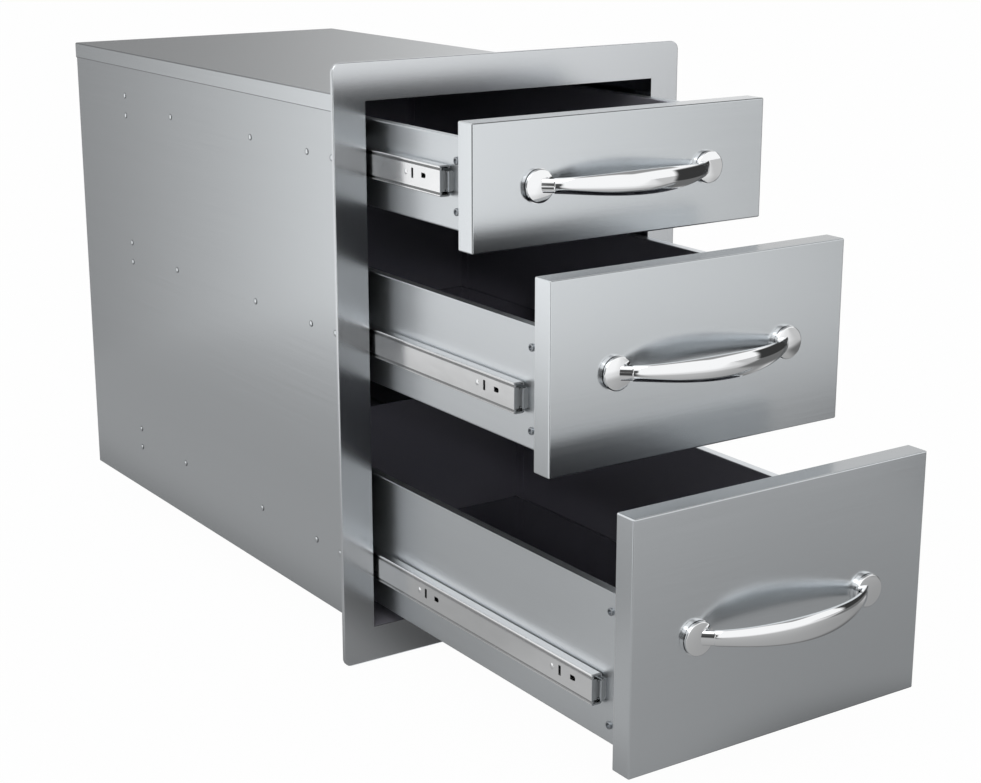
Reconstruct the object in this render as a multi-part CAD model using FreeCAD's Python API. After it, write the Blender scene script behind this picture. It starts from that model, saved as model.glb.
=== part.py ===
"""Built-in drawer unit for an outdoor kitchen: a sheet-steel casing behind a face frame, with three
drawers of rising height on full-extension ball-bearing slides.

Millimetres. X runs to the right seen from the front, Y runs from the front into the counter and
Z is up. The origin is on the centre line, in the plane where the frame's edge meets the counter, and
on the underside of the casing. The drawers are drawn part open: the top one by 6 inches, the middle
one by 10 and the bottom one by 14.
"""
import FreeCAD
import Part
import math
import os

V = FreeCAD.Vector
INCH = 25.4
SIDES = (("left", -1), ("right", 1))

# Face frame, the border that covers the edge of the cut-out
FRAME_W = 356.0
FRAME_H = 20.5 * INCH
FRAME_T = 3.0
FRAME_CORNER = 8.0
FRAME_EDGE = 1.0
OPENING_W = 295.6
OPENING_H = 18.0 * INCH
JAMB_DEPTH = 20.0

# Sheet steel: its thickness, the inside radius of its bends, and the slack between folded pieces
SHEET = 1.0
BEND = 0.6
FIT = 0.2
LIP = 12.0

# Casing behind the frame
CASING_W = 308.0
CASING_H = 460.5
CASING_D = 585.0
LID_LIP = 15.4
LIP_SETBACK = 4.0

# Drawer fronts, closed flush with the face of the frame
FRONT_W = 290.0
FRONT_T = 19.0
FRONT_GAP = 1.8
FRONT_EDGE = 1.3

# Drawer boxes
BOX_W = 269.0
BOX_D = 523.0
BOX_RISE = 11.7
RIM_FLANGE = 8.0
EAR_REACH = 28.0
EAR_UP = 3.0

# Slides: three nested members on each side of a box, half an inch thick together.
# Distances out are measured from the side of the box, and heights from the slide's centre.
SLIDE_T = 12.7
STEEL = 1.2
STEEL_BEND = 0.4
SLIDE_END = 534.0
CABINET_START = 34.0
CABINET_HALF = 16.5
CABINET_MOUTH = 4.6
CABINET_LIP = 2.4
MIDDLE_START = 42.5
MIDDLE_SHORT = 3.5
MIDDLE_HALF = 12.3
MIDDLE_WEB = 8.2
MIDDLE_FACE = 10.4
MIDDLE_MOUTH = 1.6
RACE_LIP = 2.0
GROOVE_AT = 9.6
GROOVE_R = 1.0
RIDGE_R = 1.9
INNER_START = 38.8
INNER_HALF = 8.0
INNER_DEPTH = 5.3
PACKER_HALF = 15.0

# Punched places in the web of the middle member: a round-ended hole, a slot and a bump, twice over
PUNCH_PITCH = 189.0
PUNCH_RISE = 1.6
HOLE_AT = 22.5
HOLE_L = 4.4
HOLE_R = 2.0
SLOT_AT = 38.8
SLOT_L = 3.0
SLOT_H = 8.0
BUMP_AT = 50.0
BUMP_R = 4.2
BUMP_SINK = 3.4
STOP_HALF = 6.4
STOP_MOUTH = 2.4
STOP_NECK = 5.8

# Balls, five a row in a strip of cage
BALL = 2.4
BALLS_PER_ROW = 5
BALL_PITCH = 26.0
CAGE_HALF_W = 1.4
CAGE_T = 0.6
OUTER_BALLS_OUT = 7.6
OUTER_BALLS_AT = 200.0
INNER_BALLS_OUT = 3.9
INNER_BALLS_AT = 170.0

# Fasteners
RIVET_Y = (43.0, 86.0, 191.0, 358.0)
RIVET_PAIR_Y = 465.0
RIVET_PAIR_OFF = 10.0
RIVET_R = 1.6
RIVET_HEAD_R = 2.9
RIVET_HEAD_H = 1.3
DOME_STEPS = 4
SCREW_R = 2.0
SCREW_HEAD_R = 3.1
SCREW_HEAD_H = 1.8
SCREW_BACK = 18.0
SCREW_UP = 15.0
SCREW_DOWN = 20.0
HANDLE_SCREW_R = 2.5
HANDLE_HEAD_R = 4.6
HANDLE_HEAD_H = 2.6

# Handles: a bow whose section, as (height, depth), swells from its ends to its middle, on slimmer necks.
# The reach and the foot are how far its axis stands off the front, at its middle and over a rosette.
HANDLE_CC = 170.0
HANDLE_DROP = 2.0
HANDLE_REACH = 33.0
BAR_FOOT = 2.0
BAR_END = (12.0, 6.0)
BAR_MID = (19.6, 7.0)
BAR_SWELL = 1.4
BAR_STATIONS = 13
NECK = (10.6, 5.4)
NECK_L = 13.0
SPIGOT_R = 5.0
ROSETTE_R = 13.75
ROSETTE_T = 5.0
ROSETTE_BASE = 2.0
ROSETTE_GROOVE = 0.7
ROSETTE_EDGE = 0.5

# Each drawer: name, front height, box height, slide centre above the box's underside, pull-out
DRAWER_SIZES = (
    ("bottom", 200.0, 125.0, 41.8, 14 * INCH),
    ("middle", 150.0, 100.0, 39.8, 10 * INCH),
    ("top", 100.0, 75.0, 38.6, 6 * INCH),
)

FRAME_FACE = -FRAME_T
WEB_BACK = FRAME_FACE + SHEET
OPENING_LOW = SHEET
FRAME_LOW = OPENING_LOW - (FRAME_H - OPENING_H) / 2
BOX_HALF = BOX_W / 2
CASING_HALF = CASING_W / 2
CASING_INSIDE = CASING_HALF - SHEET


class Drawer:
    """The places that follow from one drawer's sizes and from where its front starts."""

    def __init__(self, name, low, front_h, box_h, slide_rise, pull):
        self.name = name
        self.low = low
        self.high = low + front_h
        self.under = low + BOX_RISE
        self.rim = self.under + box_h
        self.slide = self.under + slide_rise
        self.pull = pull
        self.face = FRAME_FACE - pull
        self.back = self.face + FRONT_T
        self.box_end = self.back + BOX_D
        self.handle = (low + self.high) / 2 - HANDLE_DROP


def stacked(sizes):
    """The drawers one above the other in the opening."""
    drawers = []
    low = OPENING_LOW + FRONT_GAP
    for name, front_h, box_h, slide_rise, pull in sizes:
        drawers.append(Drawer(name, low, front_h, box_h, slide_rise, pull))
        low += front_h + FRONT_GAP
    return drawers


DRAWERS = stacked(DRAWER_SIZES)


def box(x0, x1, y0, y1, z0, z1):
    low = V(min(x0, x1), min(y0, y1), min(z0, z1))
    return Part.makeBox(abs(x1 - x0), abs(y1 - y0), abs(z1 - z0), low)


def fuse(shapes):
    whole = shapes[0]
    for shape in shapes[1:]:
        whole = whole.fuse(shape)
    return whole.removeSplitter()


def rod_x(x0, x1, y, z, radius):
    return Part.makeCylinder(radius, abs(x1 - x0), V(min(x0, x1), y, z), V(1, 0, 0))


def rod_y(y0, y1, x, z, radius):
    return Part.makeCylinder(radius, abs(y1 - y0), V(x, min(y0, y1), z), V(0, 1, 0))


def rounded_outline(points, radii):
    """A closed wire through the points, each corner rounded by its own radius."""
    marks = []
    for i, point in enumerate(points):
        if radii[i] == 0:
            marks.append((point, None, point))
            continue
        back = (points[i - 1] - point).normalize()
        ahead = (points[(i + 1) % len(points)] - point).normalize()
        half = back.getAngle(ahead) / 2
        inward = (back + ahead).normalize()
        run = radii[i] / math.tan(half)
        crown = point + inward * (radii[i] / math.sin(half) - radii[i])
        marks.append((point + back * run, crown, point + ahead * run))
    edges = []
    for i, (start, crown, end) in enumerate(marks):
        if crown is not None:
            edges.append(Part.Arc(start, crown, end).toShape())
        following = marks[(i + 1) % len(marks)][0]
        if (following - end).Length > 1e-6:
            edges.append(Part.LineSegment(end, following).toShape())
    return Part.Wire(edges)


def folded(path, thick, along, start, end, bend):
    """A strip of sheet whose middle line follows the path, bent at its corners and drawn out along y or z.

    The path holds (x, z) pairs for a strip along y, and (x, y) pairs for one along z.
    """
    steps = []
    for a, b in zip(path, path[1:]):
        length = math.hypot(b[0] - a[0], b[1] - a[1])
        steps.append(((b[0] - a[0]) / length, (b[1] - a[1]) / length))
    left, right, left_r, right_r = [], [], [], []
    for i, (u, v) in enumerate(path):
        before = steps[max(i - 1, 0)]
        after = steps[min(i, len(steps) - 1)]
        normal = (-before[1] - after[1], before[0] + after[0])
        mitre = thick / (normal[0] ** 2 + normal[1] ** 2)
        left.append((u + normal[0] * mitre, v + normal[1] * mitre))
        right.append((u - normal[0] * mitre, v - normal[1] * mitre))
        turn = before[0] * after[1] - before[1] * after[0]
        inner, outer = bend, bend + thick
        if abs(turn) < 1e-9:
            inner = outer = 0
        left_r.append(inner if turn > 0 else outer)
        right_r.append(outer if turn > 0 else inner)
    outline = left + right[::-1]
    if along == "y":
        points = [V(u, start, v) for u, v in outline]
        run = V(0, end - start, 0)
    else:
        points = [V(u, v, start) for u, v in outline]
        run = V(0, 0, end - start)
    return Part.Face(rounded_outline(points, left_r + right_r[::-1])).extrude(run)


def turned(profile, centre, outward):
    """A round piece about a line along x or y: the profile holds (radius, distance out) pairs."""
    points = [centre + V(0, 0, radius) + outward * out for radius, out in profile]
    wire = Part.makePolygon(points + [points[0]])
    return Part.Face(wire).revolve(centre, outward, 360)


def dome(radius, height):
    """The profile of a domed head, from its rim to its crown."""
    angles = [math.pi / 2 * k / DOME_STEPS for k in range(1, DOME_STEPS + 1)]
    return [(radius * math.cos(angle), height * math.sin(angle)) for angle in angles]


def edges_on(shape, test):
    return [edge for edge in shape.Edges if test(edge.BoundBox)]


def frame_block(inset, front, back):
    """The frame's outline, drawn in by the inset, from front to back."""
    half, low, high = FRAME_W / 2 - inset, FRAME_LOW + inset, FRAME_LOW + FRAME_H - inset
    corners = [V(-half, front, low), V(half, front, low), V(half, front, high), V(-half, front, high)]
    return Part.Face(rounded_outline(corners, [FRAME_CORNER - inset] * 4)).extrude(V(0, back - front, 0))


def face_frame():
    """A shallow pan whose edge turns back to the counter, with a jamb round three sides of its opening."""
    pan = frame_block(0, FRAME_FACE, 0)
    pan = pan.makeFillet(FRAME_EDGE, edges_on(pan, lambda b: b.YMax < FRAME_FACE + 0.1))
    pan = pan.cut(frame_block(SHEET, WEB_BACK, SHEET))
    inner, top = OPENING_W / 2, OPENING_LOW + OPENING_H
    pan = pan.cut(box(-inner, inner, FRAME_FACE - 1, 1, OPENING_LOW, top))
    start = WEB_BACK - SHEET / 2
    jambs = [box(-inner - SHEET, inner + SHEET, start, JAMB_DEPTH, top, top + SHEET)]
    for _, side in SIDES:
        jambs.append(box(side * inner, side * (inner + SHEET), start, JAMB_DEPTH, OPENING_LOW, top + SHEET))
    return fuse([pan] + jambs)


def rivet_places():
    """(y, z) of every rivet in one side of the casing."""
    places = []
    for drawer in DRAWERS:
        places += [(y, drawer.slide) for y in RIVET_Y]
        places += [(RIVET_PAIR_Y, drawer.slide + off) for off in (RIVET_PAIR_OFF, -RIVET_PAIR_OFF)]
    return places


def riveted(shape, side):
    """The shape with a hole for each rivet that crosses it."""
    for y, z in rivet_places():
        shape = shape.cut(rod_x(side * BOX_HALF, side * CASING_W, y, z, RIVET_R))
    return shape


def casing_side(side):
    """A side wall with its front edge turned in behind the jamb."""
    outer = side * (CASING_HALF - SHEET / 2)
    turn_in = side * (OPENING_W / 2 + SHEET + FIT)
    front = WEB_BACK + SHEET / 2
    path = [(turn_in, front), (outer, front), (outer, CASING_D - SHEET)]
    return riveted(folded(path, SHEET, "z", 0, CASING_H - SHEET, BEND), side)


def casing_bottom():
    """The floor, with a lip turned up inside each wall and a nose that closes the foot of the opening."""
    front = WEB_BACK + SHEET + BEND
    sheet_end = CASING_D - SHEET
    pieces = [
        box(-CASING_INSIDE, CASING_INSIDE, front, sheet_end, 0, SHEET),
        box(-OPENING_W / 2, OPENING_W / 2, WEB_BACK, front, 0, SHEET),
    ]
    for _, side in SIDES:
        wall = side * CASING_INSIDE
        pieces.append(box(wall, wall - side * SHEET, JAMB_DEPTH + LIP_SETBACK, sheet_end - LIP - FIT, 0, LIP))
    return fuse(pieces)


def casing_back():
    """The rear sheet, with a lip turned forward inside each wall."""
    top = CASING_H - SHEET
    pieces = [box(-CASING_HALF, CASING_HALF, CASING_D - SHEET, CASING_D, 0, top)]
    for _, side in SIDES:
        wall = side * CASING_INSIDE
        pieces.append(box(wall, wall - side * SHEET, CASING_D - LIP, CASING_D, SHEET, top))
    return fuse(pieces)


def casing_lid():
    """The top sheet, folded down outside both walls and the back."""
    half = CASING_HALF + SHEET
    cap = box(-half, half, WEB_BACK, CASING_D + SHEET, CASING_H - LID_LIP, CASING_H)
    folds = edges_on(cap, lambda b: b.ZMin > CASING_H - 0.1 and (b.YLength > 1 or b.YMin > 1))
    cap = cap.makeFillet(BEND + SHEET, folds)
    return cap.cut(box(-CASING_HALF, CASING_HALF, WEB_BACK - 1, CASING_D, 0, CASING_H - SHEET))


def packers():
    """A strip behind each cabinet slide member, which brings the slide in line with the opening."""
    strips = []
    for drawer in DRAWERS:
        low, high = drawer.slide - PACKER_HALF, drawer.slide + PACKER_HALF
        for _, side in SIDES:
            inner, outer = side * (BOX_HALF + SLIDE_T), side * CASING_INSIDE
            strips.append(riveted(box(inner, outer, CABINET_START, SLIDE_END, low, high), side))
    return strips


def rivets():
    shank = CASING_HALF - BOX_HALF - SLIDE_T + STEEL
    profile = [(0, -shank), (RIVET_R, -shank), (RIVET_R, 0), (RIVET_HEAD_R, 0)]
    profile += dome(RIVET_HEAD_R, RIVET_HEAD_H)
    pins = []
    for _, side in SIDES:
        for y, z in rivet_places():
            pins.append(turned(profile, V(side * CASING_HALF, y, z), V(side, 0, 0)))
    return pins


def channel(drawer, side, path, start, end):
    """A slide member: the path holds (distance out from the box, height above the slide's centre)."""
    line = [(side * (BOX_HALF + out), drawer.slide + height) for out, height in path]
    return folded(line, STEEL, "y", start, end, STEEL_BEND)


def cabinet_member(drawer, side):
    """The member that is riveted to the casing."""
    web, top = SLIDE_T - STEEL / 2, CABINET_HALF - STEEL / 2
    half = [(CABINET_MOUTH, top - CABINET_LIP), (CABINET_MOUTH, top), (web, top)]
    path = half + [(out, -height) for out, height in reversed(half)]
    return riveted(channel(drawer, side, path, CABINET_START, SLIDE_END), side)


def middle_member(drawer, side):
    """The member seen when the drawer is out: a channel with a rolled groove beside each edge of its web
    and its front end folded in as a stop, which is narrow where the drawer's own member runs past it.
    """
    start, end = MIDDLE_START - drawer.pull, SLIDE_END - MIDDLE_SHORT - drawer.pull
    web, top = MIDDLE_FACE - STEEL / 2, MIDDLE_HALF - STEEL / 2
    half = [(MIDDLE_MOUTH, top - RACE_LIP), (MIDDLE_MOUTH, top), (web, top)]
    path = half + [(out, -height) for out, height in reversed(half)]
    face, inside = side * (BOX_HALF + MIDDLE_FACE), side * (BOX_HALF + MIDDLE_FACE - STEEL)
    pieces = [channel(drawer, side, path, start, end)]
    for level in (drawer.slide + GROOVE_AT, drawer.slide - GROOVE_AT):
        room = box(side * BOX_HALF, face, start, end, level - RIDGE_R, level + RIDGE_R)
        pieces.append(rod_y(start, end, face, level, RIDGE_R).common(room))
    for mouth, reach in ((STOP_MOUTH, STOP_HALF), (STOP_NECK, MIDDLE_WEB)):
        low, high = drawer.slide - reach, drawer.slide + reach
        pieces.append(box(side * (BOX_HALF + mouth), inside, start, start + STEEL, low, high))
    rail = fuse(pieces)
    for level in (drawer.slide + GROOVE_AT, drawer.slide - GROOVE_AT):
        rail = rail.cut(rod_y(start - 1, end + 1, face, level, GROOVE_R))
    rail = punched(rail, drawer, side, start)
    return punched(rail, drawer, side, start + PUNCH_PITCH)


def punched(rail, drawer, side, first):
    """The rail with one set of its hole, slot and bump, counted back from the place called first."""
    face, level = side * (BOX_HALF + MIDDLE_FACE), drawer.slide + PUNCH_RISE
    inner, outer = face - side * 2 * STEEL, face + side * 2 * STEEL
    low, high = level - SLOT_H / 2, level + SLOT_H / 2
    rail = rail.cut(box(inner, outer, first + SLOT_AT, first + SLOT_AT + SLOT_L, low, high))
    hole_start, hole_end = first + HOLE_AT, first + HOLE_AT + HOLE_L
    hole = box(inner, outer, hole_start, hole_end, level - HOLE_R, level + HOLE_R)
    rail = rail.cut(hole.fuse(rod_x(inner, outer, hole_start, level, HOLE_R)))
    ball = Part.makeSphere(BUMP_R, V(face - side * BUMP_SINK, first + BUMP_AT, level))
    reach = 2 * BUMP_R
    bump_start, bump_end = first + BUMP_AT - reach, first + BUMP_AT + reach
    inner, outer = face - side * STEEL / 3, face + side * reach
    cap = box(inner, outer, bump_start, bump_end, level - reach, level + reach)
    return rail.fuse(ball.common(cap))


def inner_member(drawer, side):
    """The member that is fixed to the side of the box, with its front end closed."""
    web, top, start = STEEL / 2, INNER_HALF - STEEL / 2, INNER_START - drawer.pull
    path = [(INNER_DEPTH, top), (web, top), (web, -top), (INNER_DEPTH, -top)]
    rail = channel(drawer, side, path, start, SLIDE_END - drawer.pull)
    wall, mouth = side * (BOX_HALF + web), side * (BOX_HALF + INNER_DEPTH)
    return rail.fuse(box(wall, mouth, start, start + STEEL, drawer.slide - top, drawer.slide + top))


def ball_rows(drawer, out, height, start):
    """Both slides' ball cages at one stage: above and below the centre, a strip with its row of balls."""
    end = start + BALL_PITCH * BALLS_PER_ROW
    rows = []
    for _, side in SIDES:
        x = side * (BOX_HALF + out)
        for level in (drawer.slide + height, drawer.slide - height):
            low, high = level - CAGE_T / 2, level + CAGE_T / 2
            pieces = [box(x - CAGE_HALF_W, x + CAGE_HALF_W, start, end, low, high)]
            for k in range(BALLS_PER_ROW):
                pieces.append(Part.makeSphere(BALL / 2, V(x, start + BALL_PITCH * (k + 0.5), level)))
            rows.append(fuse(pieces))
    return rows


def outer_balls(drawer):
    """The balls between the cabinet and middle members, which go half as far as the middle one."""
    height = (CABINET_HALF - STEEL + MIDDLE_HALF) / 2
    start = (CABINET_START + MIDDLE_START - drawer.pull) / 2 + OUTER_BALLS_AT
    return ball_rows(drawer, OUTER_BALLS_OUT, height, start)


def inner_balls(drawer):
    """The balls between the middle member and the drawer's own."""
    height = (MIDDLE_HALF - STEEL + INNER_HALF) / 2
    return ball_rows(drawer, INNER_BALLS_OUT, height, MIDDLE_START - drawer.pull + INNER_BALLS_AT)


def handle_ends(drawer):
    return [(-HANDLE_CC / 2, drawer.handle), (HANDLE_CC / 2, drawer.handle)]


def screw_places(drawer):
    """(y, z) of the two screws that hold each side of the box to the front."""
    y = drawer.back + SCREW_BACK
    return [(y, drawer.under + SCREW_UP), (y, drawer.rim - SCREW_DOWN)]


def front_skin(drawer):
    """The shallow pan that is the face of the drawer, with soft folds round its edge."""
    low, high, face, half = drawer.low, drawer.high, drawer.face, FRONT_W / 2
    pan = box(-half, half, face, drawer.back, low, high)
    pan = pan.makeFillet(FRONT_EDGE, edges_on(pan, lambda b: b.YMax < face + 0.1))
    half -= SHEET
    pan = pan.cut(box(-half, half, face + SHEET, drawer.back + 1, low + SHEET, high - SHEET))
    for x, z in handle_ends(drawer):
        pan = pan.cut(rod_y(face - 1, face + 2 * SHEET, x, z, HANDLE_SCREW_R))
    return pan


def front_backer(drawer):
    """The plate that closes the back of the front, with an ear folded back inside each box side."""
    edge = SHEET + FIT / 2
    half, front = FRONT_W / 2 - edge, drawer.back - SHEET
    pieces = [box(-half, half, front, drawer.back, drawer.low + edge, drawer.high - edge)]
    for _, side in SIDES:
        wall = side * (BOX_HALF - SHEET)
        low, high = drawer.under + EAR_UP, drawer.rim - SHEET
        pieces.append(box(wall, wall - side * SHEET, front, drawer.back + EAR_REACH, low, high))
    plate = fuse(pieces)
    for x, z in handle_ends(drawer):
        plate = plate.cut(rod_y(front - 1, drawer.back + 1, x, z, HANDLE_SCREW_R))
    for y, z in screw_places(drawer):
        plate = plate.cut(rod_x(-BOX_HALF, BOX_HALF, y, z, SCREW_R))
    return plate


def box_side(drawer, side):
    """A wall with its rim turned outwards over the slide and its foot turned in under the floor."""
    wall = side * (BOX_HALF - SHEET / 2)
    rim, foot = drawer.rim - SHEET / 2, drawer.under + SHEET / 2
    path = [(wall + side * RIM_FLANGE, rim), (wall, rim), (wall, foot), (wall - side * LIP, foot)]
    shape = folded(path, SHEET, "y", drawer.back + FIT, drawer.box_end, BEND)
    for y, z in screw_places(drawer):
        shape = shape.cut(rod_x(0, side * BOX_W, y, z, SCREW_R))
    return shape


def box_floor(drawer):
    half = BOX_HALF - SHEET - 2 * BEND
    start, end = drawer.back + FIT, drawer.box_end - SHEET - FIT
    return box(-half, half, start, end, drawer.under + SHEET, drawer.under + 2 * SHEET)


def box_back(drawer):
    """The rear wall of the box, with a lip turned forward inside each side."""
    inside, end = BOX_HALF - SHEET, drawer.box_end
    low, high = drawer.under + 2 * SHEET + FIT, drawer.rim
    pieces = [box(-inside, inside, end - SHEET, end, low, high)]
    for _, side in SIDES:
        pieces.append(box(side * inside, side * (inside - SHEET), end - LIP, end, low, high - SHEET))
    return fuse(pieces)


def bar_section(drawer, radius, turn, size):
    """An oval across the bow, at a turn from its middle round the bow's centre."""
    outward = V(math.sin(turn), -math.cos(turn), 0)
    place = V(0, drawer.face - HANDLE_REACH + radius, drawer.handle) + outward * radius
    tall, deep = size
    oval = Part.Ellipse(place + V(0, 0, tall / 2), place + outward * deep / 2, place)
    return Part.Wire([oval.toShape()])


def handle_bar(drawer):
    """A bowed bar, tall in the middle, with a neck at each end and a spigot that its rosette goes round."""
    face, z = drawer.face, drawer.handle
    rise, half = HANDLE_REACH - BAR_FOOT, HANDLE_CC / 2
    radius = (half ** 2 + rise ** 2) / (2 * rise)
    sweep = math.asin(half / radius) - NECK_L / radius
    sections = []
    for k in range(BAR_STATIONS):
        part = 2 * k / (BAR_STATIONS - 1) - 1
        fullness = math.cos(part * math.pi / 2) ** BAR_SWELL
        size = [end + (middle - end) * fullness for end, middle in zip(BAR_END, BAR_MID)]
        sections.append(bar_section(drawer, radius, sweep * part, size))
    pieces = [Part.makeLoft(sections, True, False)]
    for _, side in SIDES:
        along = V(side * math.cos(sweep), math.sin(sweep), 0)
        neck = Part.Face(bar_section(drawer, radius, side * sweep, NECK))
        pieces.append(neck.extrude(along * 2 * NECK_L))
    seat = face - ROSETTE_T
    rear = box(-FRAME_W, FRAME_W, seat, face + HANDLE_REACH, z - BAR_MID[0], z + BAR_MID[0])
    spigots = [rod_y(seat, face, x, z, SPIGOT_R) for x, z in handle_ends(drawer)]
    bar = fuse([fuse(pieces).cut(rear)] + spigots)
    for x, z in handle_ends(drawer):
        bar = bar.cut(rod_y(seat + 1, face + 1, x, z, HANDLE_SCREW_R))
    return bar


def handle_rosettes(drawer):
    """The discs between the handle's ends and the front, each with a groove round its edge."""
    inner, groove_top = ROSETTE_R - ROSETTE_GROOVE, ROSETTE_BASE + ROSETTE_GROOVE
    profile = [
        (SPIGOT_R, 0),
        (ROSETTE_R, 0),
        (ROSETTE_R, ROSETTE_BASE),
        (inner, ROSETTE_BASE),
        (inner, groove_top),
        (ROSETTE_R - ROSETTE_EDGE, groove_top),
        (ROSETTE_R - ROSETTE_EDGE, ROSETTE_T - ROSETTE_EDGE),
        (ROSETTE_R - 2 * ROSETTE_EDGE, ROSETTE_T),
        (SPIGOT_R, ROSETTE_T),
    ]
    return [turned(profile, V(x, drawer.face, z), V(0, -1, 0)) for x, z in handle_ends(drawer)]


def screws(drawer):
    """Two handle screws through the front, and two pan-head screws through each side into the ears."""
    tip = FRONT_T + ROSETTE_T - 1
    shank = [(0, -tip), (HANDLE_SCREW_R, -tip), (HANDLE_SCREW_R, 0), (HANDLE_HEAD_R, 0)]
    profile = shank + dome(HANDLE_HEAD_R, HANDLE_HEAD_H)
    pins = [turned(profile, V(x, drawer.back, z), V(0, 1, 0)) for x, z in handle_ends(drawer)]
    tip = 2 * SHEET
    shank = [(0, -tip), (SCREW_R, -tip), (SCREW_R, 0), (SCREW_HEAD_R, 0)]
    profile = shank + dome(SCREW_HEAD_R, SCREW_HEAD_H)
    for _, side in SIDES:
        for y, z in screw_places(drawer):
            pins.append(turned(profile, V(side * BOX_HALF, y, z), V(side, 0, 0)))
    return pins


def save(name, solids):
    shape = Part.makeCompound(solids) if isinstance(solids, list) else solids
    for solid in shape.Solids:
        assert solid.isValid() and solid.Volume > 0, name
    shape.exportStep("parts/" + name + ".step")
    print(name, len(shape.Solids), "solids", round(shape.Volume / 1000, 2), "cm3")


def save_casing():
    save("face_frame", face_frame())
    save("casing_bottom", casing_bottom())
    save("casing_back", casing_back())
    save("casing_lid", casing_lid())
    save("slide_packers", packers())
    save("casing_rivets", rivets())
    for word, side in SIDES:
        save("casing_" + word, casing_side(side))


def save_drawer(drawer):
    name = drawer.name
    for word, side in SIDES:
        save(name + "_slide_cabinet_" + word, cabinet_member(drawer, side))
        save(name + "_slide_middle_" + word, middle_member(drawer, side))
        save(name + "_slide_drawer_" + word, inner_member(drawer, side))
        save(name + "_box_" + word, box_side(drawer, side))
    save(name + "_balls_outer", outer_balls(drawer))
    save(name + "_balls_inner", inner_balls(drawer))
    save(name + "_box_floor", box_floor(drawer))
    save(name + "_box_back", box_back(drawer))
    save(name + "_front_skin", front_skin(drawer))
    save(name + "_front_backer", front_backer(drawer))
    save(name + "_handle_bar", handle_bar(drawer))
    save(name + "_handle_rosettes", handle_rosettes(drawer))
    save(name + "_screws", screws(drawer))


def main():
    os.makedirs("parts", exist_ok=True)
    save_casing()
    for drawer in DRAWERS:
        save_drawer(drawer)


main()
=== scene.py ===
"""Dresses a built-in outdoor kitchen drawer unit: satin stainless sheet with dark glossy insides,
bright zinc-plated slides and polished bow handles. Metres, in the part's own frame.
"""
import math

import bmesh
import bpy
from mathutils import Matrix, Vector


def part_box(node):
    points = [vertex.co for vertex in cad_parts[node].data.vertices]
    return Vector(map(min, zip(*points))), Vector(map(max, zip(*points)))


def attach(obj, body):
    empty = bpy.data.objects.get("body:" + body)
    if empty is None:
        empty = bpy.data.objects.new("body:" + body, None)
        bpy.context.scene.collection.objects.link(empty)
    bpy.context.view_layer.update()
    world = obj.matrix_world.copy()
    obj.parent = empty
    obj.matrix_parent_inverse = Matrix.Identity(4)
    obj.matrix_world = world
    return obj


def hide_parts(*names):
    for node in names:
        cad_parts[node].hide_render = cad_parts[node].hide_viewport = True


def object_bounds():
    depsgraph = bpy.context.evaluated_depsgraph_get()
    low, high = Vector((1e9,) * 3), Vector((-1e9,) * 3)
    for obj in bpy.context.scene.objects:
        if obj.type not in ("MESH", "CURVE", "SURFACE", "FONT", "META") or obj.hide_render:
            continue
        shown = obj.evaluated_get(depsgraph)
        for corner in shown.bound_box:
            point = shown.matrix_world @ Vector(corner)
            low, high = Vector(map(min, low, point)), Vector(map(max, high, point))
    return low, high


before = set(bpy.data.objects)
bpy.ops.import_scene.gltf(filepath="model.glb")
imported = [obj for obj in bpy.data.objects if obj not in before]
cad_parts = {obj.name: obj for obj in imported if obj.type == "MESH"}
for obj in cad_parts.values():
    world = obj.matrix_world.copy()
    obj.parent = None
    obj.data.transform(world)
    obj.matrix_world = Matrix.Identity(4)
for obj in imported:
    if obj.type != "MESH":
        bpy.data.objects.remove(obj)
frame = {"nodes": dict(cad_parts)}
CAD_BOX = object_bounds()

bl_info = {
    "name": "Outdoor Kitchen Drawer Unit",
    "version": (1, 0, 0),
    "blender": (4, 5, 0),
    "location": "3D View > Sidebar > Drawer Unit",
    "description": "Dresses a built-in drawer unit in satin steel, with bright slides and polished handles",
    "category": "Object",
}

MM = 0.001
DRAWERS = ("bottom", "middle", "top")
SIDES = ("left", "right")
SHEET = 1.0 * MM
LID_FOLD = 1.6 * MM
FRONT_FOLD = 1.3 * MM

# Width and length of the brushing's streaks, and the ways that they run
STREAK, STROKE = 1.5 * MM, 160 * MM
UPRIGHT = (STREAK, STREAK, STROKE)
LENGTHWAYS = (STREAK, STROKE, STREAK)
CROSSWAYS = (STROKE, STREAK, STREAK)

# Painted shade on each front: how bright its folded upper edge and its fold line are painted against its face
FRONT_PAINTED_SHADE = (("top", 0.7, 0.45), ("middle", 0.46, 1.0), ("bottom", 0.54, 1.0))

# Millimetres behind the frame of the rivets on a slide's line, and of the pair above and below it
RIVET_LINE = (43, 86, 191, 358)
RIVET_PAIR = 465
RIVET_PAIR_APART = 20

# Studio cards: name, place, size, the point that each one faces, and brightness
CARDS = (
    ("right_card", (1.5, -0.35, 0.2), 1.5, (0, -0.35, 0.2), 0.04),
    ("ceiling_card", (1.2, -1.2, 2.6), 3.2, (0, -0.2, 0.2), 0.3),
    ("right_floor_card", (1.25, -0.3, CAD_BOX[0].z + 3 * MM), 1.4, (1.25, -0.3, 1), 0.15),
    ("left_card", (-1.9, -0.6, 0.6), 1.5, (0, -0.2, 0.2), 0.12),
    ("camera_card", (-1.82, -2.38, 0.4), 1.1, (-0.16, 0, 0.4), 0.08),
)


def linear(colour):
    """A hex sRGB colour as the linear values that a shader takes."""
    channels = [int(colour[i:i + 2], 16) / 255 for i in (1, 3, 5)]
    return tuple(c / 12.92 if c <= 0.04045 else ((c + 0.055) / 1.055) ** 2.4 for c in channels) + (1.0,)


def colour_property(name, description, colour):
    return bpy.props.FloatVectorProperty(
        name=name, description=description, subtype="COLOR", size=4, min=0, max=1, default=linear(colour)
    )


def size_property(name, description, millimetres):
    return bpy.props.FloatProperty(
        name=name, description=description, subtype="DISTANCE", unit="LENGTH", default=millimetres * MM
    )


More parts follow.
